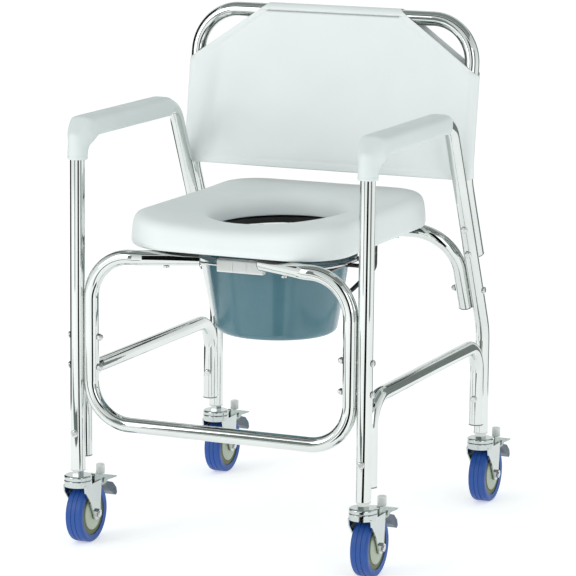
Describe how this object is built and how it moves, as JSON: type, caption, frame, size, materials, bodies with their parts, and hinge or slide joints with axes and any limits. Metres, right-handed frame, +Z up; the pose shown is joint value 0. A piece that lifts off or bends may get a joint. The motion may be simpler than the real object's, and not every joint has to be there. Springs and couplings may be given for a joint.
{
  "type": "commode chair",
  "caption": "Wheeled commode chair: chromed tube frame, soft seat with an oval opening over a sliding pail, moulded arm grips, vinyl sleeve back and braked swivel casters.",
  "frame": {"origin": "centre of the bounding box on the floor under the tyres", "axes": "+Z up, +Y to the back of the chair, +X to the left hand of a person sitting in it"},
  "size_m": [0.568, 0.6922, 0.8786],
  "materials": {
    "chromed_tube": "mirror bright",
    "white_vinyl": "soft satin",
    "white_grip": "satin",
    "seat_foam": "satin skin on moulded foam",
    "base_board": "black sealed plywood",
    "pail_plastic": "slightly translucent satin",
    "bright_wire": "bright drawn",
    "white_plastic": "gloss",
    "black_rod": "gloss black coating",
    "bright_fastener": "zinc plated",
    "grey_plug": "satin",
    "pale_nylon": "satin",
    "chromed_caster": "bright",
    "zinc_pressing": "zinc plated",
    "dark_pedal": "satin dark navy",
    "blue_tyre": "satin rubber",
    "olive_core": "satin",
    "cream_guard": "satin"
  },
  "bodies": {
    "chair_frame": {"left_side_frame": "chromed_tube", "right_side_frame": "chromed_tube", "left_side_brace": "chromed_tube", "right_side_brace": "chromed_tube", "front_seat_loop": "chromed_tube", "rear_seat_loop": "chromed_tube", "backrest_tube": "chromed_tube", "backrest_cover": "white_vinyl", "left_arm_grip": "white_grip", "right_arm_grip": "white_grip", "seat_pad": "seat_foam", "seat_base": "base_board", "pail_holder": "black_rod", "loop_bolts": "bright_fastener", "brace_bolts": "bright_fastener", "backrest_bolts": "bright_fastener", "cap_nuts": "bright_fastener", "seat_screws": "bright_fastener", "holder_screws": "bright_fastener", "tube_plugs": "grey_plug", "caster_sockets": "pale_nylon", "caster_stems": "chromed_caster"},
    "pail_body": {"pail": "pail_plastic"},
    "bail": {"bail_wire": "bright_wire", "bail_grip": "white_plastic"},
    "front_left_swivel": {"front_left_fork": "zinc_pressing", "front_left_axle_bolt": "bright_fastener", "front_left_brake_bracket": "zinc_pressing", "front_left_brake_screw": "white_plastic"},
    "front_left_wheel": {"front_left_tyre": "blue_tyre", "front_left_wheel_core": "olive_core", "front_left_thread_guards": "cream_guard"},
    "front_left_pedal": {"front_left_brake_pedal": "dark_pedal"},
    "front_right_swivel": {"front_right_fork": "zinc_pressing", "front_right_axle_bolt": "bright_fastener", "front_right_brake_bracket": "zinc_pressing", "front_right_brake_screw": "white_plastic"},
    "front_right_wheel": {"front_right_tyre": "blue_tyre", "front_right_wheel_core": "olive_core", "front_right_thread_guards": "cream_guard"},
    "front_right_pedal": {"front_right_brake_pedal": "dark_pedal"},
    "rear_left_swivel": {"rear_left_fork": "zinc_pressing", "rear_left_axle_bolt": "bright_fastener", "rear_left_brake_bracket": "zinc_pressing", "rear_left_brake_screw": "white_plastic"},
    "rear_left_wheel": {"rear_left_tyre": "blue_tyre", "rear_left_wheel_core": "olive_core", "rear_left_thread_guards": "cream_guard"},
    "rear_left_pedal": {"rear_left_brake_pedal": "dark_pedal"},
    "rear_right_swivel": {"rear_right_fork": "zinc_pressing", "rear_right_axle_bolt": "bright_fastener", "rear_right_brake_bracket": "zinc_pressing", "rear_right_brake_screw": "white_plastic"},
    "rear_right_wheel": {"rear_right_tyre": "blue_tyre", "rear_right_wheel_core": "olive_core", "rear_right_thread_guards": "cream_guard"},
    "rear_right_pedal": {"rear_right_brake_pedal": "dark_pedal"}
  },
  "joints": [
    {"name": "pail_slide", "type": "slide", "parent": "chair_frame", "child": "pail_body", "axis": [0, -1, 0], "range_m": [0, 0.025]},
    {"name": "bail_hinge", "type": "hinge", "parent": "pail_body", "child": "bail", "pos_m": [0, -0.0866, 0.4805], "axis": [-1, 0, 0], "range_deg": [0, 6]},
    {"name": "front_left_swivel_turn", "type": "hinge", "parent": "chair_frame", "child": "front_left_swivel", "pos_m": [0.257, -0.3226, 0.11], "axis": [0, 0, 1], "continuous": true},
    {"name": "front_left_wheel_spin", "type": "hinge", "parent": "front_left_swivel", "child": "front_left_wheel", "pos_m": [0.257, -0.2926, 0.05], "axis": [1, 0, 0], "continuous": true},
    {"name": "front_left_pedal_press", "type": "hinge", "parent": "front_left_swivel", "child": "front_left_pedal", "pos_m": [0.257, -0.2626, 0.1], "axis": [-1, 0, 0], "range_deg": [0, 8]},
    {"name": "front_right_swivel_turn", "type": "hinge", "parent": "chair_frame", "child": "front_right_swivel", "pos_m": [-0.257, -0.3226, 0.11], "axis": [0, 0, 1], "continuous": true},
    {"name": "front_right_wheel_spin", "type": "hinge", "parent": "front_right_swivel", "child": "front_right_wheel", "pos_m": [-0.257, -0.2926, 0.05], "axis": [1, 0, 0], "continuous": true},
    {"name": "front_right_pedal_press", "type": "hinge", "parent": "front_right_swivel", "child": "front_right_pedal", "pos_m": [-0.257, -0.2626, 0.1], "axis": [-1, 0, 0], "range_deg": [0, 8]},
    {"name": "rear_left_swivel_turn", "type": "hinge", "parent": "chair_frame", "child": "rear_left_swivel", "pos_m": [0.257, 0.2314, 0.11], "axis": [0, 0, 1], "continuous": true},
    {"name": "rear_left_wheel_spin", "type": "hinge", "parent": "rear_left_swivel", "child": "rear_left_wheel", "pos_m": [0.257, 0.2614, 0.05], "axis": [1, 0, 0], "continuous": true},
    {"name": "rear_left_pedal_press", "type": "hinge", "parent": "rear_left_swivel", "child": "rear_left_pedal", "pos_m": [0.257, 0.2914, 0.1], "axis": [-1, 0, 0], "range_deg": [0, 8]},
    {"name": "rear_right_swivel_turn", "type": "hinge", "parent": "chair_frame", "child": "rear_right_swivel", "pos_m": [-0.257, 0.2314, 0.11], "axis": [0, 0, 1], "continuous": true},
    {"name": "rear_right_wheel_spin", "type": "hinge", "parent": "rear_right_swivel", "child": "rear_right_wheel", "pos_m": [-0.257, 0.2614, 0.05], "axis": [1, 0, 0], "continuous": true},
    {"name": "rear_right_pedal_press", "type": "hinge", "parent": "rear_right_swivel", "child": "rear_right_pedal", "pos_m": [-0.257, 0.2914, 0.1], "axis": [-1, 0, 0], "range_deg": [0, 8]}
  ]
}
